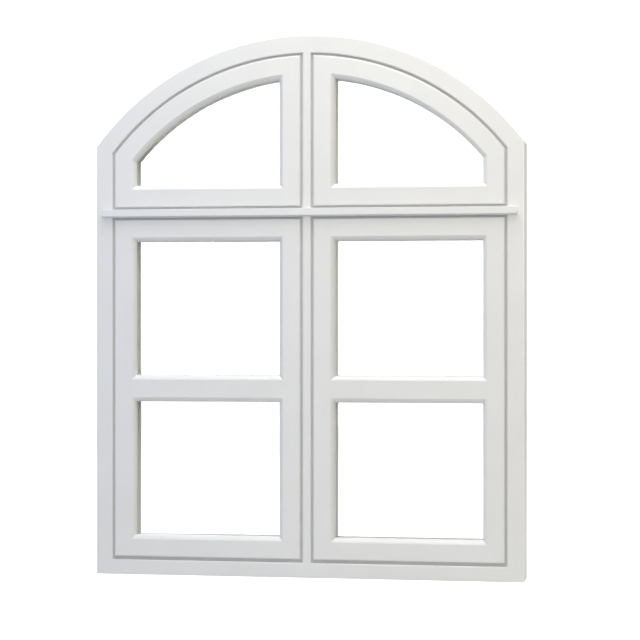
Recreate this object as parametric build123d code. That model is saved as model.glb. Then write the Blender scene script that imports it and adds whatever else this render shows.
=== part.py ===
from build123d import *
import os
from math import degrees, atan2, sqrt

# An arched timber casement window. A frame with one mullion and one transom holds two arched upper
# sashes and two lower sashes with one bar each, all glazed with sealed double panes. The origin is at
# the middle of the sill's underside, +Z is up and the weather side faces -Y. Lengths are millimetres.

# Overall size
width = 1200.0
springing_height = 1200.0
arch_rise = 300.0
frame_depth = 110.0

# Frame members, as wide as they show on the weather side
frame_face = 46.0
head_face = 47.5
sill_face = 41.5
mullion_face = 24.0
transom_face = 24.0
transom_drop = 188.0
sill_fall = 3.0
transom_fall = 2.0

# Clearances between sash and frame
side_gap = 6.0
sill_gap = 9.5
seal_gap = 3.0
stop_overlap = 12.0

# Sash members
sash_thickness = 70.0
sash_member = 61.0
bar_width = 74.0
bevel = 12.5
bevel_bulge = 0.2
lip_thickness = 5.0
rebate_depth = 15.0

# Rounded edges
arris = 3.0
sash_arris = 4.0
arris_bulge = 0.3
stop_arris = 2.0
outer_chamfer = 1.0

# Tenons
tenon_setback = 24.0
tenon_thickness = 20.0
sash_tenon_length = 30.0
sash_tenon_shoulder = 12.0
frame_tenon_length = 25.0
frame_tenon_shoulder = 6.0
mullion_tenon_length = 10.0
mullion_tenon_shoulder = 5.0

# Sealed glass units, their beads and the weather seals
pane_thickness = 4.0
pane_space = 16.0
glass_edge_gap = 4.0
spacer_setback = 1.5
spacer_height = 8.5
bead_setback = 2.0
bead_arris = 3.0
mitre_gap = 0.3
seal_width = 6.0
gap_seal_setback = 8.0
gap_seal_depth = 8.0

# Drip moulding on the transom
drip_height = 21.0
drip_projection = 14.0
drip_fall = 2.0
drip_inset = 18.5
drip_arris = 2.0
drip_throat = 2.0
drip_throat_setback = 5.0

# Handles on the room side of the lower sashes
rose_width = 26.0
rose_height = 66.0
rose_thickness = 9.0
rose_corner = 8.0
rose_arris = 2.5
lever_width = 19.0
lever_thickness = 11.0
lever_reach = 38.0
lever_length = 112.0
lever_bend = 14.0
lever_arris = 3.0

# Fixing holes through the jambs
fixing_height = 200.0
fixing_spacing = 700.0
fixing_diameter = 8.0
fixing_head_diameter = 15.0
fixing_head_depth = 8.0

# Places worked out from the sizes
half = width / 2
height = springing_height + arch_rise
arch_radius = (half**2 + arch_rise**2) / (2 * arch_rise)
arch_centre = height - arch_radius
front = -frame_depth / 2
sash_back = front + sash_thickness
stop_face = sash_thickness + seal_gap
transom_height = springing_height - transom_drop

sill_width = sill_face + sill_gap + stop_overlap
mullion_half = mullion_face / 2
transom_half = transom_face / 2
stop_reach = side_gap + stop_overlap
jamb_width = frame_face + stop_reach

sash_inner = mullion_half + side_gap
sash_outer = half - frame_face - side_gap
lower_bottom = sill_face + sill_gap
lower_top = transom_height - transom_half - side_gap
upper_bottom = transom_height + transom_half + side_gap
upper_radius = arch_radius - head_face - side_gap
bar_bottom = (lower_bottom + lower_top - bar_width) / 2

wall_inset = sash_member - rebate_depth
glass_front = bevel + lip_thickness
glass_back = glass_front + 2 * pane_thickness + pane_space
sight_inner = sash_inner + sash_member
sight_outer = sash_outer - sash_member
tenon_front = front + tenon_setback
arc_overrun = 5.0
tolerance = 0.01


# Shapes that the members are made from

def outline(corners, curved=True):
    """A member's section from corners (t, y, setback): t across the member, y back from its front.

    A corner with a setback is eased to a flat arc, or to two flats, that start that far from it. One
    with a fourth value always has an arc, which bulges that far towards the corner.
    """
    points = [Vector(*corner[:2]) for corner in corners]
    edges, starts, ends = [], [], []
    for index, (corner, (t, y, setback, *own_bulge)) in enumerate(zip(points, corners)):
        before, after = points[index - 1], points[(index + 1) % len(points)]
        start = corner + (before - corner).normalized() * setback
        end = corner + (after - corner).normalized() * setback
        if setback:
            chord = (start + end) / 2
            bulge = own_bulge[0] if own_bulge else arris_bulge
            crest = chord + (corner - chord) * bulge
            if curved or own_bulge:
                edges.append(Edge.make_three_point_arc(start, crest, end))
            else:
                edges += [Edge.make_line(start, crest), Edge.make_line(crest, end)]
        starts.append(start)
        ends.append(end)
    edges += [Edge.make_line(end, start) for end, start in zip(ends, starts[1:] + starts[:1])]
    return Face(Wire(edges))


def upright(section, edge, inward, low, high):
    """A vertical member whose section runs from x = edge towards +X or -X."""
    start = low if inward > 0 else high
    plane = Plane((edge, front, start), x_dir=(inward, 0, 0), z_dir=(0, 0, inward))
    return extrude(plane * section, high - low, dir=plane.z_dir)


def level(section, edge, inward, low, high):
    """A horizontal member whose section runs from z = edge up or down."""
    start = high if inward > 0 else low
    plane = Plane((start, front, edge), x_dir=(0, 0, inward), z_dir=(-inward, 0, 0))
    return extrude(plane * section, high - low, dir=plane.z_dir)


def arched(section, radius, start, end):
    """A curved member whose section runs inwards from radius, between two angles from the crown."""
    axis = Axis((0, 0, arch_centre), (0, 1, 0))
    plane = Plane((0, front, arch_centre + radius), x_dir=(0, 0, -1), z_dir=(1, 0, 0))
    return revolve(plane * section, axis, end - start).rotate(axis, start)


def block(x_low, x_high, y_low, y_high, z_low, z_high):
    size = (x_high - x_low, y_high - y_low, z_high - z_low)
    return Pos(x_low, y_low, z_low) * Box(*size, align=Align.MIN)


def disc(radius, y_low, y_high):
    middle = (y_low + y_high) / 2
    return Pos(0, middle, arch_centre) * Rot(90, 0, 0) * Cylinder(radius, y_high - y_low)


def arch_height(radius, x):
    return arch_centre + sqrt(radius**2 - x**2)


def arch_angle(radius, x):
    return degrees(atan2(x, sqrt(radius**2 - x**2)))


def mitred(piece, middle, corners, gap=0.0):
    """The part of piece round middle, cut at each corner along the line between its two points."""
    for inner, outer in corners:
        across = Vector(outer[1] - inner[1], 0, inner[0] - outer[0]).normalized()
        start = Vector(inner[0], 0, inner[1])
        if across.dot(Vector(middle[0], 0, middle[1]) - start) < 0:
            across = -across
        piece = split(piece, Plane(start + across * (gap / 2), z_dir=across), Keep.TOP)
    return piece


def mortise(x_low, x_high, z_low, z_high):
    return block(x_low, x_high, tenon_front, tenon_front + tenon_thickness, z_low, z_high)


def eased(piece, on_outline):
    """Piece with those of its front edges rounded that lie on the outline of its sash."""
    edges = [
        edge for edge in piece.edges()
        if all(abs((edge @ share).Y - front) < tolerance for share in (0, 0.5, 1))
        and on_outline(edge @ 0.5)
    ]
    return fillet(edges, sash_arris)


# Sections

def frame_section(face, gap, outer_corners, fall=0.0, curved=True):
    reach = face + gap + stop_overlap
    return outline([
        (face, 0, arris), (face + fall, stop_face, 0), (reach, stop_face, stop_arris),
        (reach, frame_depth, arris), *[(t, y, 0) for t, y in outer_corners],
    ], curved)


def divider_section(half_face, fall=0.0, front_arris=arris):
    reach = half_face + stop_reach
    return outline([
        (-half_face, 0, arris), (half_face, 0, front_arris), (half_face + fall, stop_face, 0),
        (reach, stop_face, stop_arris), (reach, frame_depth, arris), (-reach, frame_depth, arris),
        (-reach, stop_face, stop_arris), (-half_face, stop_face, 0),
    ])


def sash_section(outer_arris=0.0, curved=True):
    return outline([
        (0, 0, outer_arris), (sash_member, 0, bevel, bevel_bulge), (sash_member, glass_front, 0),
        (wall_inset, glass_front, 0), (wall_inset, sash_thickness, 0), (0, sash_thickness, 0),
    ], curved)


stile_section = sash_section()
rail_section = sash_section(sash_arris)
arched_rail_section = sash_section(sash_arris, curved=False)
bar_section = outline([
    (0, 0, bevel, bevel_bulge), (bar_width, 0, bevel, bevel_bulge), (bar_width, glass_front, 0),
    (bar_width - rebate_depth, glass_front, 0),
    (bar_width - rebate_depth, sash_thickness, 0), (rebate_depth, sash_thickness, 0),
    (rebate_depth, glass_front, 0), (0, glass_front, 0),
])
bead_section = outline([
    (0, glass_back, 0), (rebate_depth, glass_back, 0),
    (rebate_depth, sash_thickness - bead_setback, bead_arris), (0, sash_thickness - bead_setback, 0),
], curved=False)


# Frame: two jambs and the arched head, mitred at the springing

inner_jamb = half - frame_face
frame_corner = [(inner_jamb, arch_height(arch_radius - head_face, inner_jamb)), (half, springing_height)]
chamfered = [
    (outer_chamfer, frame_depth), (0, frame_depth - outer_chamfer), (0, outer_chamfer), (outer_chamfer, 0),
]
jamb_section = frame_section(frame_face, side_gap, chamfered)
head_section = frame_section(head_face, side_gap, chamfered, curved=False)

right_jamb = upright(jamb_section, half, -1, 0, height)
right_jamb = mitred(right_jamb, (half, 0), [frame_corner])
tenon_end = inner_jamb + frame_tenon_length
right_jamb -= mortise(inner_jamb, tenon_end, frame_tenon_shoulder, sill_face - frame_tenon_shoulder)
transom_tenon = transom_half - frame_tenon_shoulder
right_jamb -= mortise(inner_jamb, tenon_end, transom_height - transom_tenon, transom_height + transom_tenon)
fixing_middle = front + (stop_face + frame_depth) / 2
for z in (fixing_height, fixing_height + fixing_spacing):
    across = Pos(half - jamb_width, fixing_middle, z) * Rot(0, 90, 0)
    right_jamb -= across * Cylinder(fixing_diameter / 2, 2 * jamb_width)
    right_jamb -= across * Cylinder(fixing_head_diameter / 2, 2 * fixing_head_depth)
left_jamb = mirror(right_jamb, about=Plane.YZ)

springing_angle = arch_angle(arch_radius, half)
head_end = springing_angle + arc_overrun
arched_head = arched(head_section, arch_radius, -head_end, head_end)
left_corner = [(-x, z) for x, z in frame_corner]
arched_head = mitred(arched_head, (0, height), [frame_corner, left_corner])
head_inner = arch_height(arch_radius - head_face, 0)
tenon_half = mullion_half - mullion_tenon_shoulder
arched_head -= mortise(-tenon_half, tenon_half, head_inner - stop_reach, head_inner + mullion_tenon_length)


# Frame: sill, transom and mullions, scribed to what they meet

sill_section = frame_section(sill_face, sill_gap, [(0, frame_depth), (0, 0)], sill_fall)
sill = level(sill_section, 0, 1, -tenon_end, tenon_end)
sill = sill - right_jamb - left_jamb
sill -= mortise(-tenon_half, tenon_half, sill_face - mullion_tenon_length, sill_width)

transom_section = divider_section(transom_half, transom_fall, front_arris=0.0)
transom = level(transom_section, transom_height, 1, -tenon_end, tenon_end)
transom = transom - right_jamb - left_jamb
lower_end = transom_height - transom_half + mullion_tenon_length
upper_end = transom_height + transom_half - mullion_tenon_length
transom -= mortise(-tenon_half, tenon_half, transom_height - transom_half - stop_reach, lower_end)
transom -= mortise(-tenon_half, tenon_half, upper_end, transom_height + transom_half + stop_reach)

mullion_section = divider_section(mullion_half)
lower_mullion = upright(mullion_section, 0, 1, sill_face - mullion_tenon_length, lower_end)
lower_mullion = lower_mullion - sill - transom
upper_mullion = upright(mullion_section, 0, 1, upper_end, head_inner + mullion_tenon_length)
upper_mullion = upper_mullion - transom - arched_head

drip_bottom = transom_height + transom_half - drip_height
drip_section = outline([
    (0, 0, 0), (0, -drip_projection, drip_arris), (drip_height - drip_fall, -drip_projection, 0),
    (drip_height, 0, 0),
])
drip_end = half - drip_inset
drip_moulding = level(drip_section, drip_bottom, 1, -drip_end, drip_end)
throat = Pos(0, front - drip_projection + drip_throat_setback, drip_bottom) * Rot(0, 90, 0)
drip_moulding -= throat * Cylinder(drip_throat, width)


# Upper right sash

tenon_low = sash_inner + wall_inset - sash_tenon_length
tenon_high = sash_outer - wall_inset + sash_tenon_length
upper_corner = [
    (sash_outer - inset, arch_height(upper_radius - inset, sash_outer - inset))
    for inset in (sash_member, 0.0)
]
upper_tenon = (upper_bottom + sash_tenon_shoulder, upper_bottom + wall_inset)
arch_tenon = [
    arch_height(upper_radius - inset, sight_inner) for inset in (wall_inset, sash_tenon_shoulder)
]

def on_upper_outline(point):
    off_arc = sqrt(point.X**2 + (point.Z - arch_centre)**2) - upper_radius
    off_lines = (point.X - sash_inner, point.X - sash_outer, point.Z - upper_bottom)
    return min(abs(distance) for distance in (off_arc, *off_lines)) < tolerance


upper_meeting_stile = upright(stile_section, sash_inner, 1, upper_bottom, height)
upper_meeting_stile &= disc(upper_radius, front, sash_back)
for low, high in (upper_tenon, arch_tenon):
    upper_meeting_stile -= mortise(tenon_low, sash_inner + wall_inset, low, high)
upper_outer_stile = upright(stile_section, sash_outer, -1, upper_bottom, height)
upper_outer_stile = mitred(upper_outer_stile, (sash_outer, upper_bottom), [upper_corner])
upper_outer_stile -= mortise(sash_outer - wall_inset, tenon_high, *upper_tenon)
upper_bottom_rail = level(rail_section, upper_bottom, 1, tenon_low, tenon_high)
upper_bottom_rail = upper_bottom_rail - upper_meeting_stile - upper_outer_stile

arched_rail = arched(arched_rail_section, upper_radius, 0, arch_angle(upper_radius, sash_outer) + arc_overrun)
arched_rail = mitred(arched_rail, (sash_inner, height), [upper_corner])
arched_rail &= block(tenon_low, half, front, sash_back, upper_bottom, height)
arched_rail -= upper_meeting_stile
upper_meeting_stile = eased(upper_meeting_stile, on_upper_outline)
upper_outer_stile = eased(upper_outer_stile, on_upper_outline)


# Lower right sash

def on_lower_outline(point):
    off_lines = (
        point.X - sash_inner, point.X - sash_outer, point.Z - lower_bottom, point.Z - lower_top,
    )
    return min(abs(distance) for distance in off_lines) < tolerance


lower_tenons = [
    (lower_bottom + sash_tenon_shoulder, lower_bottom + wall_inset),
    (bar_bottom + rebate_depth, bar_bottom + bar_width - rebate_depth),
    (lower_top - wall_inset, lower_top - sash_tenon_shoulder),
]
lower_meeting_stile = upright(stile_section, sash_inner, 1, lower_bottom, lower_top)
lower_outer_stile = upright(stile_section, sash_outer, -1, lower_bottom, lower_top)
for low, high in lower_tenons:
    lower_meeting_stile -= mortise(tenon_low, sash_inner + wall_inset, low, high)
    lower_outer_stile -= mortise(sash_outer - wall_inset, tenon_high, low, high)

lower_rails = {
    "top_rail": level(rail_section, lower_top, -1, tenon_low, tenon_high),
    "glazing_bar": level(bar_section, bar_bottom, 1, tenon_low, tenon_high),
    "bottom_rail": level(rail_section, lower_bottom, 1, tenon_low, tenon_high),
}
for name, rail in lower_rails.items():
    lower_rails[name] = rail - lower_meeting_stile - lower_outer_stile
lower_meeting_stile = eased(lower_meeting_stile, on_lower_outline)
lower_outer_stile = eased(lower_outer_stile, on_lower_outline)


# Glass, spacers, beads and seals of one light: its sight lines are x_low, x_high, z_low and a top
# that is either level or an arc

def top_at(light, x, outward):
    return arch_height(light["radius"] + outward, x) if light["radius"] else light["z_high"] + outward


def fill(light, outward, y_low, y_high):
    """The light's whole opening, grown outward past its sight lines."""
    x_low, x_high = light["x_low"] - outward, light["x_high"] + outward
    z_high = height if light["radius"] else light["z_high"] + outward
    solid = block(x_low, x_high, y_low, y_high, light["z_low"] - outward, z_high)
    if light["radius"]:
        solid &= disc(light["radius"] + outward, y_low, y_high)
    return solid


def glass_panes(light):
    outward = rebate_depth - glass_edge_gap
    outer = front + glass_front
    inner = outer + pane_thickness + pane_space
    return [fill(light, outward, y, y + pane_thickness) for y in (outer, inner)]


def glass_spacer(light):
    outward = rebate_depth - glass_edge_gap - spacer_setback
    y_low = front + glass_front + pane_thickness
    y_high = y_low + pane_space
    return [fill(light, outward, y_low, y_high) - fill(light, outward - spacer_height, y_low, y_high)]


def glazing_beads(light):
    x_wall = (light["x_low"] - rebate_depth, light["x_high"] + rebate_depth)
    z_wall = light["z_low"] - rebate_depth
    corners = {}
    for side, x, sign in (("inner", light["x_low"], -1), ("outer", light["x_high"], 1)):
        wall = x + sign * rebate_depth
        corners[side, "low"] = ((x, light["z_low"]), (wall, z_wall))
        corners[side, "high"] = ((x, top_at(light, x, 0)), (wall, top_at(light, wall, rebate_depth)))
    middle_x = (light["x_low"] + light["x_high"]) / 2
    top_middle = (middle_x, top_at(light, middle_x, 0))
    side_top = max(outer[1] for inner, outer in corners.values())
    if light["radius"]:
        end_angle = arch_angle(light["radius"] + rebate_depth, x_wall[1]) + arc_overrun
        top = arched(bead_section, light["radius"] + rebate_depth, 0, end_angle)
    else:
        top = level(bead_section, light["z_high"] + rebate_depth, -1, *x_wall)
    low, high = light["z_low"], corners["outer", "high"][0][1]
    runs = [
        (level(bead_section, z_wall, 1, *x_wall), (middle_x, low), [("inner", "low"), ("outer", "low")]),
        (top, top_middle, [("inner", "high"), ("outer", "high")]),
        (
            upright(bead_section, x_wall[0], 1, z_wall, side_top),
            (light["x_low"], (low + high) / 2), [("inner", "low"), ("inner", "high")],
        ),
        (
            upright(bead_section, x_wall[1], -1, z_wall, side_top),
            (light["x_high"], (low + high) / 2), [("outer", "low"), ("outer", "high")],
        ),
    ]
    return [mitred(run, middle, [corners[end] for end in ends], mitre_gap) for run, middle, ends in runs]


def weather_seals(sash, opening):
    """The seal that a sash presses on the stop, and the one that fills the gap round its front."""
    inset = (stop_overlap - seal_width) / 2
    y_low, y_high = sash_back, sash_back + seal_gap
    stop_seal = fill(sash, -inset, y_low, y_high) - fill(sash, -inset - seal_width, y_low, y_high)
    y_low, y_high = front + gap_seal_setback, front + gap_seal_setback + gap_seal_depth
    gap_seal = fill(opening, side_gap, y_low, y_high) - fill(sash, 0, y_low, y_high)
    return [stop_seal, gap_seal - sill - transom]


sash_sides = {"x_low": sash_inner, "x_high": sash_outer}
upper_sash = dict(sash_sides, z_low=upper_bottom, radius=upper_radius)
lower_sash = dict(sash_sides, z_low=lower_bottom, z_high=lower_top, radius=None)
lower_opening = dict(lower_sash, z_low=sill_face + side_gap)

sight_sides = {"x_low": sight_inner, "x_high": sight_outer}
upper_light = dict(sight_sides, z_low=upper_bottom + sash_member, radius=upper_radius - sash_member)
lower_lights = [
    dict(sight_sides, z_low=lower_bottom + sash_member, z_high=bar_bottom, radius=None),
    dict(sight_sides, z_low=bar_bottom + bar_width, z_high=lower_top - sash_member, radius=None),
]


# Handle on the lower right meeting stile: a rose and a lever that hangs down

handle_x = (mullion_half + stop_reach + sash_inner + wall_inset) / 2
handle_z = (lower_bottom + lower_top) / 2
rose_plane = Plane((handle_x, sash_back, handle_z), x_dir=(1, 0, 0), z_dir=(0, 1, 0))
rose_section = outline([
    (side * rose_width / 2, end * rose_height / 2, rose_corner)
    for side, end in ((-1, -1), (1, -1), (1, 1), (-1, 1))
], curved=False)
handle_rose = extrude(rose_plane * rose_section, rose_thickness)
handle_rose = chamfer(handle_rose.faces().sort_by(Axis.Y)[-1].edges(), rose_arris)

rose_back = sash_back + rose_thickness
lever_line = FilletPolyline(
    (handle_x, rose_back, handle_z), (handle_x, rose_back + lever_reach, handle_z),
    (handle_x, rose_back + lever_reach, handle_z - lever_length), radius=lever_bend,
)
lever_plane = Plane((handle_x, rose_back, handle_z), x_dir=(1, 0, 0), z_dir=(0, 1, 0))
lever_section = outline([
    (side * lever_width / 2, face * lever_thickness / 2, lever_arris)
    for side, face in ((-1, -1), (1, -1), (1, 1), (-1, 1))
], curved=False)
handle_lever = sweep(lever_plane * lever_section, lever_line)


# Nodes: what stands on the right is mirrored to the left

right_hand = {
    "upper_{}_meeting_stile": [upper_meeting_stile],
    "upper_{}_outer_stile": [upper_outer_stile],
    "upper_{}_bottom_rail": [upper_bottom_rail],
    "upper_{}_arched_rail": [arched_rail],
    "upper_{}_glass": glass_panes(upper_light),
    "upper_{}_spacer": glass_spacer(upper_light),
    "upper_{}_beads": glazing_beads(upper_light),
    "lower_{}_meeting_stile": [lower_meeting_stile],
    "lower_{}_outer_stile": [lower_outer_stile],
    "lower_{}_glass": [pane for light in lower_lights for pane in glass_panes(light)],
    "lower_{}_spacers": [ring for light in lower_lights for ring in glass_spacer(light)],
    "lower_{}_beads": [bead for light in lower_lights for bead in glazing_beads(light)],
    "{}_handle_rose": [handle_rose],
    "{}_handle_lever": [handle_lever],
}
for name, rail in lower_rails.items():
    right_hand["lower_{}_" + name] = [rail]

nodes = {
    "left_jamb": [left_jamb],
    "right_jamb": [right_jamb],
    "sill": [sill],
    "arched_head": [arched_head],
    "transom": [transom],
    "lower_mullion": [lower_mullion],
    "upper_mullion": [upper_mullion],
    "drip_moulding": [drip_moulding],
}
for level_name, sash, opening in (("upper", upper_sash, upper_sash), ("lower", lower_sash, lower_opening)):
    seals = weather_seals(sash, opening)
    nodes[level_name + "_weather_seals"] = seals + [mirror(seal, about=Plane.YZ) for seal in seals]
for pattern, pieces in right_hand.items():
    nodes[pattern.format("right")] = pieces
    nodes[pattern.format("left")] = [mirror(piece, about=Plane.YZ) for piece in pieces]

os.makedirs("parts", exist_ok=True)
for name, pieces in nodes.items():
    solids = [solid for piece in pieces for solid in piece.solids()]
    export_step(Compound(children=solids, label=name), f"parts/{name}.step")
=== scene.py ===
import math

import bmesh
import bpy
from mathutils import Matrix, Vector


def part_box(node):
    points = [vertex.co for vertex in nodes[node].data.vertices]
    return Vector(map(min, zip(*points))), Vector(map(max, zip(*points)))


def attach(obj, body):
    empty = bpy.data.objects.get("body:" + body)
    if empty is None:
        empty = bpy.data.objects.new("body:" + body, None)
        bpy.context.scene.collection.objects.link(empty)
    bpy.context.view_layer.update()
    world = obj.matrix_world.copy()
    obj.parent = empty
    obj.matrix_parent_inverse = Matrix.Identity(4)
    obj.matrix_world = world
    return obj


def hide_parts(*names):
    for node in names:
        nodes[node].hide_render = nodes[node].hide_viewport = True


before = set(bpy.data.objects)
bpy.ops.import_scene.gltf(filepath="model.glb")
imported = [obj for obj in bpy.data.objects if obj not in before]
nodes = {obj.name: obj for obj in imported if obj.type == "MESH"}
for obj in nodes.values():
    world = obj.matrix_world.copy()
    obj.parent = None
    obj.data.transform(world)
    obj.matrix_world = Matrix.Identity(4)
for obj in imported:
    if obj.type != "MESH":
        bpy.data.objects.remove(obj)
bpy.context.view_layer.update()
scene = bpy.context.scene
print("stage: frame loaded with", len(nodes), "CAD nodes")


# Places read from the CAD nodes, in metres

def nodeLow(name):
    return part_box(name)[0]


def nodeHigh(name):
    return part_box(name)[1]


halfWidth = nodeHigh("right_jamb").x
crownHeight = nodeHigh("arched_head").z
springHeight = nodeHigh("right_jamb").z
archRise = crownHeight - springHeight
archRadius = (halfWidth ** 2 + archRise ** 2) / (2 * archRise)
archCentre = crownHeight - archRadius


# Node helpers

def newGroup(name, inputs, outputs):
    group = bpy.data.node_groups.new(name, "ShaderNodeTree")
    for label, kind, value in inputs:
        socket = group.interface.new_socket(label, in_out="INPUT", socket_type="NodeSocket" + kind)
        if value is not None:
            socket.default_value = value
    for label, kind in outputs:
        group.interface.new_socket(label, in_out="OUTPUT", socket_type="NodeSocket" + kind)
    return group, group.nodes.new("NodeGroupInput"), group.nodes.new("NodeGroupOutput")


def addNode(tree, kind, settings=None, **values):
    node = tree.nodes.new("ShaderNode" + kind)
    for key, value in (settings or {}).items():
        setattr(node, key, value)
    for key, value in values.items():
        node.inputs[key.replace("_", " ")].default_value = value
    return node


def mathNode(tree, operation, first, second=None):
    node = tree.nodes.new("ShaderNodeMath")
    node.operation = operation
    for socket, value in zip(node.inputs, (first, second)):
        if isinstance(value, (int, float)):
            socket.default_value = value
        elif value is not None:
            tree.links.new(value, socket)
    return node.outputs[0]


def sumNode(tree, first, second, shares):
    parts = [mathNode(tree, "MULTIPLY", part, share) for part, share in zip((first, second), shares)]
    return mathNode(tree, "ADD", *parts)


def rangeNode(tree, value, low, high, toLow, toHigh):
    node = tree.nodes.new("ShaderNodeMapRange")
    tree.links.new(value, node.inputs["Value"])
    node.inputs["From Min"].default_value = low
    node.inputs["From Max"].default_value = high
    node.inputs["To Min"].default_value = toLow
    node.inputs["To Max"].default_value = toHigh
    return node.outputs["Result"]


def noiseNode(tree, vector, scale, detail=3.0, roughness=0.5):
    node = addNode(tree, "TexNoise", Scale=scale, Detail=detail, Roughness=roughness)
    tree.links.new(vector, node.inputs["Vector"])
    return node.outputs["Fac"]


def newMaterial(name):
    material = bpy.data.materials.new(name)
    material.use_nodes = True
    shader = material.node_tree.nodes["Principled BSDF"]
    return material, material.node_tree, shader


def addBump(tree, shader, height, strength, distance):
    bump = addNode(tree, "Bump", Strength=strength, Distance=distance)
    tree.links.new(height, bump.inputs["Height"])
    tree.links.new(bump.outputs["Normal"], shader.inputs["Normal"])


# Paint film over softwood: the grain is a faint ripple along Z of the given coordinates

white = (1.0, 1.0, 1.0, 1.0)
paintLook = {
    "colour": (0.86, 0.862, 0.86, 1.0),
    "shade": (0.835, 0.836, 0.832, 1.0),
    "roughness": (0.36, 0.46),
    "bumpStrength": 0.10,
    "bumpDistance": 0.0004,
    "coat": 0.15,
    "coatRoughness": 0.25,
    "stretch": (1.0, 1.0, 0.035),
    "grain": (260.0, 4.0, 0.55),  # noise scale, detail and roughness
    "brush": (900.0, 2.0),
    "cloud": (7.0, 2.0),
    "speck": (420.0, 2.0),
    "heightShares": (0.7, 0.3),  # grain and brush marks
    "toneShares": (0.75, 0.25),  # cloud and grain
    "toneRange": (0.3, 0.7),
    "speckRange": (0.25, 0.75),
}


def makePaintFilm():
    group, source, result = newGroup(
        "paintFilm",
        [("Vector", "Vector", None), ("Light Tone", "Color", white), ("Dark Tone", "Color", white)],
        [("Color", "Color"), ("Roughness", "Float"), ("Height", "Float")],
    )
    stretch = addNode(group, "Mapping", Scale=paintLook["stretch"])
    group.links.new(source.outputs["Vector"], stretch.inputs["Vector"])
    grain = noiseNode(group, stretch.outputs["Vector"], *paintLook["grain"])
    brush = noiseNode(group, stretch.outputs["Vector"], *paintLook["brush"])
    cloud = noiseNode(group, source.outputs["Vector"], *paintLook["cloud"])
    speck = noiseNode(group, source.outputs["Vector"], *paintLook["speck"])
    height = sumNode(group, grain, brush, paintLook["heightShares"])
    tone = sumNode(group, cloud, grain, paintLook["toneShares"])
    mix = addNode(group, "Mix", {"data_type": "RGBA"})
    toneShare = rangeNode(group, tone, *paintLook["toneRange"], 0.0, 1.0)
    group.links.new(toneShare, mix.inputs["Factor"])
    group.links.new(source.outputs["Dark Tone"], mix.inputs["A"])
    group.links.new(source.outputs["Light Tone"], mix.inputs["B"])
    group.links.new(mix.outputs["Result"], result.inputs["Color"])
    roughness = rangeNode(group, speck, *paintLook["speckRange"], *paintLook["roughness"])
    group.links.new(roughness, result.inputs["Roughness"])
    group.links.new(height, result.inputs["Height"])
    return group


def makeArchCoordinates():
    group, source, result = newGroup(
        "archCoordinates",
        [("Vector", "Vector", None), ("Centre", "Float", 0.0), ("Radius", "Float", 1.0)],
        [("Vector", "Vector")],
    )
    split = addNode(group, "SeparateXYZ")
    group.links.new(source.outputs["Vector"], split.inputs["Vector"])
    across, depth = split.outputs["X"], split.outputs["Y"]
    rise = mathNode(group, "SUBTRACT", split.outputs["Z"], source.outputs["Centre"])
    acrossSquare = mathNode(group, "MULTIPLY", across, across)
    riseSquare = mathNode(group, "MULTIPLY", rise, rise)
    reach = mathNode(group, "SQRT", mathNode(group, "ADD", acrossSquare, riseSquare))
    angle = mathNode(group, "ARCTAN2", across, rise)
    along = mathNode(group, "MULTIPLY", angle, source.outputs["Radius"])
    join = addNode(group, "CombineXYZ")
    group.links.new(reach, join.inputs["X"])
    group.links.new(depth, join.inputs["Y"])
    group.links.new(along, join.inputs["Z"])
    group.links.new(join.outputs["Vector"], result.inputs["Vector"])
    return group


paintFilm = makePaintFilm()
archCoordinates = makeArchCoordinates()


def makePaint(name, run):
    material, tree, shader = newMaterial(name)
    coordinates = addNode(tree, "TexCoord").outputs["Object"]
    if run == "level":
        turn = addNode(tree, "Mapping", Rotation=(0.0, math.pi / 2, 0.0))
        tree.links.new(coordinates, turn.inputs["Vector"])
        coordinates = turn.outputs["Vector"]
    elif run == "arch":
        bend = addNode(
            tree, "Group", {"node_tree": archCoordinates}, Centre=archCentre, Radius=archRadius
        )
        tree.links.new(coordinates, bend.inputs["Vector"])
        coordinates = bend.outputs["Vector"]
    film = addNode(
        tree, "Group", {"node_tree": paintFilm},
        Light_Tone=paintLook["colour"], Dark_Tone=paintLook["shade"],
    )
    tree.links.new(coordinates, film.inputs["Vector"])
    tree.links.new(film.outputs["Color"], shader.inputs["Base Color"])
    tree.links.new(film.outputs["Roughness"], shader.inputs["Roughness"])
    shader.inputs["Coat Weight"].default_value = paintLook["coat"]
    shader.inputs["Coat Roughness"].default_value = paintLook["coatRoughness"]
    height, strength = film.outputs["Height"], paintLook["bumpStrength"]
    addBump(tree, shader, height, strength, paintLook["bumpDistance"])
    return material


paints = {run: makePaint("satin_paint_" + run, run) for run in ("upright", "level", "arch")}
print("stage: paint made")


# Clear float glass with the faintest smear in its shine, open to lamp light

glassLook = {
    "colour": (0.985, 0.995, 0.99, 1.0),
    "roughness": (0.0, 0.012),
    "smear": (9.0, 3.0),  # noise scale and detail
    "smearRange": (0.45, 0.8),
    "index": 1.45,
    "passing": (0.92, 0.93, 0.925, 1.0),  # lamp light that gets through one pane
}


def makeGlass():
    material, tree, shader = newMaterial("clear_float_glass")
    coordinates = addNode(tree, "TexCoord").outputs["Object"]
    smear = noiseNode(tree, coordinates, *glassLook["smear"])
    roughness = rangeNode(tree, smear, *glassLook["smearRange"], *glassLook["roughness"])
    tree.links.new(roughness, shader.inputs["Roughness"])
    shader.inputs["Base Color"].default_value = glassLook["colour"]
    shader.inputs["Transmission Weight"].default_value = 1.0
    shader.inputs["IOR"].default_value = glassLook["index"]
    passing = addNode(tree, "BsdfTransparent", Color=glassLook["passing"])
    choose = addNode(tree, "MixShader")
    tree.links.new(addNode(tree, "LightPath").outputs["Is Shadow Ray"], choose.inputs["Fac"])
    tree.links.new(shader.outputs["BSDF"], choose.inputs[1])
    tree.links.new(passing.outputs["BSDF"], choose.inputs[2])
    tree.links.new(choose.outputs["Shader"], tree.nodes["Material Output"].inputs["Surface"])
    return material


# Metals and rubber: fine lines over a soft cloud

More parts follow.
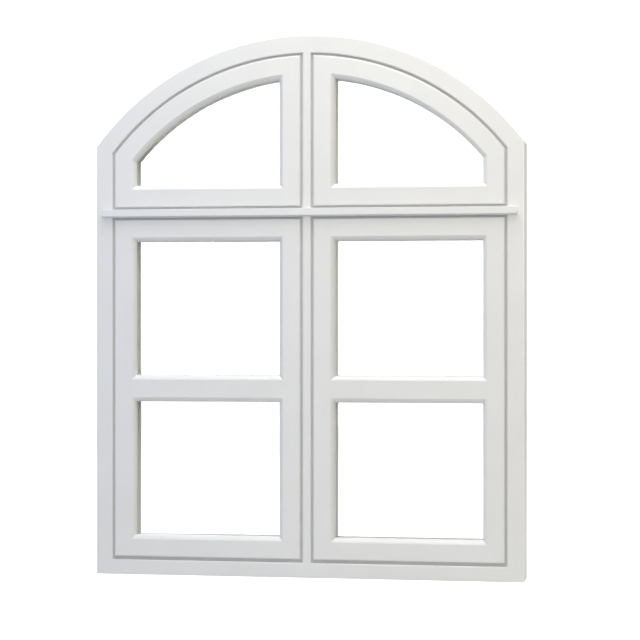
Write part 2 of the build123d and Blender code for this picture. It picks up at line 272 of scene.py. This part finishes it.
lineLook = {
    "lines": (1400.0, 3.0),  # noise scale and detail
    "cloud": (40.0, 2.0),
    "toneShares": (0.5, 0.5),  # lines and cloud
    "toneRange": (0.35, 0.65),
    "lineRange": (0.3, 0.7),
    "bumpDistance": 0.0002,
}
handleLook = {
    "colour": (0.62, 0.62, 0.61, 1.0),
    "shade": (0.50, 0.50, 0.49, 1.0),
    "metallic": 1.0,
    "roughness": (0.24, 0.36),
    "stretch": (1.0, 1.0, 0.02),
    "bump": 0.08,
}
spacerLook = {
    "colour": (0.74, 0.74, 0.73, 1.0),
    "shade": (0.70, 0.70, 0.69, 1.0),
    "metallic": 0.0,
    "roughness": (0.50, 0.65),
    "stretch": (1.0, 1.0, 1.0),
    "bump": 0.03,
}
sealLook = {
    "colour": (0.58, 0.58, 0.58, 1.0),
    "shade": (0.53, 0.53, 0.53, 1.0),
    "metallic": 0.0,
    "roughness": (0.55, 0.70),
    "stretch": (1.0, 1.0, 1.0),
    "bump": 0.05,
}


def makeLined(name, look):
    material, tree, shader = newMaterial(name)
    coordinates = addNode(tree, "TexCoord").outputs["Object"]
    stretch = addNode(tree, "Mapping", Scale=look["stretch"])
    tree.links.new(coordinates, stretch.inputs["Vector"])
    lines = noiseNode(tree, stretch.outputs["Vector"], *lineLook["lines"])
    cloud = noiseNode(tree, coordinates, *lineLook["cloud"])
    mix = addNode(tree, "Mix", {"data_type": "RGBA"})
    mix.inputs["A"].default_value = look["shade"]
    mix.inputs["B"].default_value = look["colour"]
    tone = sumNode(tree, lines, cloud, lineLook["toneShares"])
    toneShare = rangeNode(tree, tone, *lineLook["toneRange"], 0.0, 1.0)
    tree.links.new(toneShare, mix.inputs["Factor"])
    tree.links.new(mix.outputs["Result"], shader.inputs["Base Color"])
    roughness = rangeNode(tree, lines, *lineLook["lineRange"], *look["roughness"])
    tree.links.new(roughness, shader.inputs["Roughness"])
    shader.inputs["Metallic"].default_value = look["metallic"]
    addBump(tree, shader, lines, look["bump"], lineLook["bumpDistance"])
    return material


finishes = {
    "glass": makeGlass(),
    "handle": makeLined("brushed_handle_metal", handleLook),
    "spacer": makeLined("spacer_matt_grey", spacerLook),
    "seal": makeLined("seal_rubber_grey", sealLook),
}
print("stage: glass, metal and rubber made")


# A finish for every CAD node, by the words in its name

finishWords = [
    ("glass", finishes["glass"]),
    ("spacer", finishes["spacer"]),
    ("seals", finishes["seal"]),
    ("handle", finishes["handle"]),
    ("arched", paints["arch"]),
    ("jamb", paints["upright"]),
    ("mullion", paints["upright"]),
    ("stile", paints["upright"]),
    ("", paints["level"]),
]
for name, node in nodes.items():
    finish = next(material for word, material in finishWords if word in name)
    node.data.materials.clear()
    node.data.materials.append(finish)
print("stage: CAD nodes finished")


# Helpers for new pieces, which are drawn flat and turned to face the room

pieceLook = {"cornerSteps": 6, "sharpAngle": math.radians(32), "mergeDistance": 1e-6}
faceRoom = Matrix.Rotation(-math.pi / 2, 3, "X")


def easeOff(mesh, geom, offset, steps, affect):
    bmesh.ops.bevel(
        mesh, geom=geom, offset=offset, offset_type="OFFSET", segments=steps, profile=0.5,
        affect=affect, material=-1,
    )


def roundedPlate(mesh, width, height, corner, middle):
    made = bmesh.ops.create_grid(mesh, x_segments=1, y_segments=1, size=0.5)["verts"]
    bmesh.ops.scale(mesh, vec=(width, height, 1.0), verts=made)
    bmesh.ops.rotate(mesh, cent=(0, 0, 0), matrix=faceRoom, verts=made)
    bmesh.ops.translate(mesh, vec=middle, verts=made)
    easeOff(mesh, made, corner, pieceLook["cornerSteps"], "VERTICES")
    return next(iter(mesh.faces))


def newVerts(made):
    return [item for item in made if isinstance(item, bmesh.types.BMVert)]


def ringEdges(made):
    verts = set(newVerts(made))
    edges = [item for item in made if isinstance(item, bmesh.types.BMEdge)]
    return [edge for edge in edges if verts.issuperset(edge.verts)]


def roomFace(faces):
    return max(faces, key=lambda face: face.calc_center_median().y)


def pushRing(mesh, ring, shift, size, middle):
    made = bmesh.ops.extrude_edge_only(mesh, edges=ring)["geom"]
    verts = newVerts(made)
    bmesh.ops.translate(mesh, vec=shift, verts=verts)
    bmesh.ops.scale(mesh, vec=size, space=Matrix.Translation(-Vector(middle)), verts=verts)
    return ringEdges(made)


def finishPiece(name, mesh, material, replaced):
    bmesh.ops.remove_doubles(mesh, verts=mesh.verts, dist=pieceLook["mergeDistance"])
    bmesh.ops.recalc_face_normals(mesh, faces=mesh.faces)
    for face in mesh.faces:
        face.smooth = True
    data = bpy.data.meshes.new(name)
    mesh.to_mesh(data)
    mesh.free()
    data.set_sharp_from_angle(angle=pieceLook["sharpAngle"])
    piece = bpy.data.objects.new(name, data)
    scene.collection.objects.link(piece)
    data.materials.append(material)
    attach(piece, "root")
    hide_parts(replaced)


# Handles on the room side: a rose with a collar and two screws, and a lever that hangs from it

discLook = {"sides": 40, "edgeSteps": 3}
roseLook = {
    "corner": 0.0085,
    "edge": 0.0024,
    "edgeSteps": 4,
    "collar": 0.0108,
    "collarDepth": 0.0032,
    "collarEdge": 0.4,  # share of the collar's depth
}
screwLook = {
    "radius": 0.0034,
    "height": 0.0011,
    "edge": 0.6,  # share of the head's height
    "reach": 0.0225,
    "recess": 0.0014,
    "recessDepth": 0.0008,
}
leverLook = {
    "thickness": 0.011,
    "corner": 0.0042,
    "neck": (0.80, 0.92),  # width and thickness of the neck against the grip's
    "bend": 0.014,
    "bendSteps": 12,
    "grip": (  # share of the length, then width and thickness there
        (0.10, 0.86, 0.96),
        (0.45, 0.96, 0.97),
        (0.80, 1.0, 0.98),
        (0.955, 0.97, 0.94),
        (0.99, 0.86, 0.78),
        (1.0, 0.64, 0.46),
    ),
}


def addDisc(mesh, radius, depth, middle, edge):
    made = bmesh.ops.create_cone(
        mesh, cap_ends=True, segments=discLook["sides"], radius1=radius, radius2=radius, depth=depth
    )["verts"]
    bmesh.ops.rotate(mesh, cent=(0, 0, 0), matrix=faceRoom, verts=made)
    bmesh.ops.translate(mesh, vec=middle, verts=made)
    top = roomFace(face for vert in made for face in vert.link_faces)
    easeOff(mesh, list(top.edges), edge, discLook["edgeSteps"], "EDGES")


def addScrew(mesh, middle):
    before = set(mesh.faces)
    height = screwLook["height"]
    addDisc(mesh, screwLook["radius"], 2 * height, middle, height * screwLook["edge"])
    top = roomFace(face for face in mesh.faces if face not in before)
    rim = screwLook["radius"] - screwLook["recess"]
    bmesh.ops.inset_region(mesh, faces=[top], thickness=rim)
    sunk = bmesh.ops.extrude_face_region(mesh, geom=[top])["geom"]
    bmesh.ops.translate(mesh, vec=(0, -screwLook["recessDepth"], 0), verts=newVerts(sunk))
    bmesh.ops.delete(mesh, geom=[top], context="FACES_ONLY")


def makeRose(side):
    node = side + "_handle_rose"
    low, high = nodeLow(node), nodeHigh(node)
    middle = (low + high) / 2
    mesh = bmesh.new()
    foot = (middle.x, low.y, middle.z)
    plate = roundedPlate(mesh, high.x - low.x, high.z - low.z, roseLook["corner"], foot)
    front = bmesh.ops.extrude_face_region(mesh, geom=[plate])["geom"]
    bmesh.ops.translate(mesh, vec=(0, high.y - low.y, 0), verts=newVerts(front))
    easeOff(mesh, ringEdges(front), roseLook["edge"], roseLook["edgeSteps"], "EDGES")
    depth = roseLook["collarDepth"]
    face = (middle.x, high.y, middle.z)
    addDisc(mesh, roseLook["collar"], 2 * depth, face, depth * roseLook["collarEdge"])
    for end in (-1, 1):
        addScrew(mesh, (middle.x, high.y, middle.z + end * screwLook["reach"]))
    finishPiece(side + "_handle_rose_plate", mesh, finishes["handle"], node)


def makeLever(side):
    node = side + "_handle_lever"
    low, high = nodeLow(node), nodeHigh(node)
    middle = (low.x + high.x) / 2
    thickness, bend = leverLook["thickness"], leverLook["bend"]
    neckHeight, gripDepth = high.z - thickness / 2, high.y - thickness / 2
    mesh = bmesh.new()
    wide, thick = leverLook["neck"]
    neckWidth, neckThickness = (high.x - low.x) * wide, thickness * thick
    foot = (middle, low.y, neckHeight)
    start = roundedPlate(mesh, neckWidth, neckThickness, leverLook["corner"], foot)
    neckEnd = gripDepth - bend
    neckShift, neckMiddle = (0, neckEnd - low.y, 0), (middle, neckEnd, neckHeight)
    ring = pushRing(mesh, list(start.edges), neckShift, (1, 1, 1), neckMiddle)
    top = neckHeight - bend
    bent = bmesh.ops.spin(
        mesh, geom=ring + list({vert for edge in ring for vert in edge.verts}),
        cent=(middle, neckEnd, top), axis=(-1, 0, 0), angle=math.pi / 2,
        steps=leverLook["bendSteps"], use_merge=False, use_duplicate=False,
    )["geom_last"]
    ring = ringEdges(bent)
    length = top - low.z
    reached, sizes = 0.0, (wide, thick)
    for share, across, deep in leverLook["grip"]:
        shift = (0, 0, (reached - share) * length)
        size = (across / sizes[0], deep / sizes[1], 1)
        ring = pushRing(mesh, ring, shift, size, (middle, gripDepth, top - share * length))
        reached, sizes = share, (across, deep)
    bmesh.ops.edgeloop_fill(mesh, edges=ring)
    finishPiece(side + "_handle_grip", mesh, finishes["handle"], node)


for side in ("left", "right"):
    makeRose(side)
    makeLever(side)
print("stage: handles made")


# Floor, a pale disc that shows white to the camera with a faint shadow at the window's foot

floorLook = {
    "radius": 60.0,
    "sides": 96,
    "colour": (0.61, 0.61, 0.61, 1.0),
    "shade": (0.59, 0.59, 0.59, 1.0),
    "noiseScale": 3.0,
    "roughness": 0.8,
    "lift": 1.25,
}


def seenByCamera(tree):
    path = addNode(tree, "LightPath").outputs
    beyond = mathNode(tree, "SUBTRACT", path["Is Transmission Ray"], path["Diffuse Depth"])
    throughGlass = mathNode(tree, "MAXIMUM", beyond, 0.0)
    return mathNode(tree, "MAXIMUM", path["Is Camera Ray"], throughGlass)


def makeFloor():
    mesh = bmesh.new()
    bmesh.ops.create_circle(
        mesh, cap_ends=True, segments=floorLook["sides"], radius=floorLook["radius"]
    )
    data = bpy.data.meshes.new("floor")
    mesh.to_mesh(data)
    mesh.free()
    floor = bpy.data.objects.new("floor", data)
    scene.collection.objects.link(floor)
    material, tree, shader = newMaterial("pale_floor")
    coordinates = addNode(tree, "TexCoord").outputs["Object"]
    mix = addNode(tree, "Mix", {"data_type": "RGBA"})
    mix.inputs["A"].default_value = floorLook["shade"]
    mix.inputs["B"].default_value = floorLook["colour"]
    tree.links.new(noiseNode(tree, coordinates, floorLook["noiseScale"]), mix.inputs["Factor"])
    tree.links.new(mix.outputs["Result"], shader.inputs["Base Color"])
    shader.inputs["Roughness"].default_value = floorLook["roughness"]
    glow = addNode(tree, "Emission", Color=white, Strength=floorLook["lift"])
    both = addNode(tree, "AddShader")
    tree.links.new(shader.outputs["BSDF"], both.inputs[0])
    tree.links.new(glow.outputs["Emission"], both.inputs[1])
    choose = addNode(tree, "MixShader")
    tree.links.new(seenByCamera(tree), choose.inputs["Fac"])
    tree.links.new(shader.outputs["BSDF"], choose.inputs[1])
    tree.links.new(both.outputs["Shader"], choose.inputs[2])
    tree.links.new(choose.outputs["Shader"], tree.nodes["Material Output"].inputs["Surface"])
    data.materials.append(material)


makeFloor()


# Studio light: two overheads, three fronts, a cool left, two edges and a fill for the room side

surround = {"colour": (0.02, 0.02, 0.02, 1.0), "backdrop": 1.3}
neutral = (1.0, 1.0, 1.0)
windowMiddle = (0.0, 0.0, 0.8)
lamps = {
    "overheadKey": {
        "place": (0.0, -1.0, 4.2), "aim": (0.0, 0.0, 0.9),
        "size": 2.5, "power": 97.0, "colour": neutral,
    },
    "overheadRight": {
        "place": (0.9, -1.8, 2.6), "aim": (0.3, 0.0, 1.1),
        "size": 1.5, "power": 10.3, "colour": (1.0, 0.92, 0.69),
    },
    "lowFront": {
        "place": (0.0, -8.0, 1.5), "aim": windowMiddle,
        "size": 5.0, "power": 122.0, "colour": (1.0, 0.95, 0.81),
    },
    "highFront": {
        "place": (0.0, -7.0, 4.0), "aim": windowMiddle,
        "size": 4.0, "power": 106.0, "colour": (1.0, 0.987, 0.934),
    },
    "coolLeft": {
        "place": (-2.2, -2.0, 1.3), "aim": (-0.3, 0.0, 0.9),
        "size": 1.2, "power": 11.5, "colour": (0.0, 0.28, 1.0), "shine": False,
    },
    "rightEdge": {
        "place": (3.4, 0.36, 1.2), "aim": (0.6, 0.0, 0.75),
        "size": 0.5, "power": 57.0, "colour": (1.0, 0.98, 0.92),
    },
    "rightFront": {
        "place": (2.5, -5.0, 1.6), "aim": (0.3, 0.0, 0.9),
        "size": 2.0, "power": 8.0, "colour": (1.0, 0.96, 0.86),
    },
    "leftEdge": {
        "place": (-3.4, 0.5, 1.0), "aim": (-0.6, 0.0, 0.75),
        "size": 1.0, "power": 9.0, "colour": (1.0, 0.8, 0.17), "shine": False,
    },
    "rearFill": {
        "place": (-2.6, 4.2, 1.5), "aim": windowMiddle,
        "size": 3.0, "power": 80.0, "colour": neutral,
    },
}


def makeLamps():
    for name, lamp in lamps.items():
        light = bpy.data.lights.new(name, "AREA")
        light.shape = "DISK"
        light.size = lamp["size"]
        light.energy = lamp["power"]
        light.color = lamp["colour"]
        holder = bpy.data.objects.new(name, light)
        holder.location = lamp["place"]
        holder.visible_glossy = lamp.get("shine", True)
        toward = Vector(lamp["aim"]) - Vector(lamp["place"])
        holder.rotation_euler = toward.to_track_quat("-Z", "Y").to_euler()
        scene.collection.objects.link(holder)


def makeSurround():
    world = bpy.data.worlds.new("studio")
    world.use_nodes = True
    scene.world = world
    tree = world.node_tree
    ambient = tree.nodes["Background"]
    ambient.inputs["Color"].default_value = surround["colour"]
    ambient.inputs["Strength"].default_value = 1.0
    backdrop = addNode(tree, "Background", Color=white, Strength=surround["backdrop"])
    choose = addNode(tree, "MixShader")
    tree.links.new(seenByCamera(tree), choose.inputs["Fac"])
    tree.links.new(ambient.outputs["Background"], choose.inputs[1])
    tree.links.new(backdrop.outputs["Background"], choose.inputs[2])
    tree.links.new(choose.outputs["Shader"], tree.nodes["World Output"].inputs["Surface"])


makeLamps()
makeSurround()
scene.view_settings.view_transform = "Standard"


# Camera at the photograph's viewpoint

viewpoint = {"place": (1.0062, -5.7077, 0.7139), "turn": 9.725, "lens": 116.79, "sensor": 36.0}


def makeCamera():
    data = bpy.data.cameras.new("viewpoint")
    data.lens = viewpoint["lens"]
    data.sensor_width = viewpoint["sensor"]
    camera = bpy.data.objects.new("viewpoint", data)
    camera.location = viewpoint["place"]
    camera.rotation_euler = (math.pi / 2, 0.0, math.radians(viewpoint["turn"]))
    scene.collection.objects.link(camera)
    scene.camera = camera


makeCamera()
print("stage: floor, light and camera set")
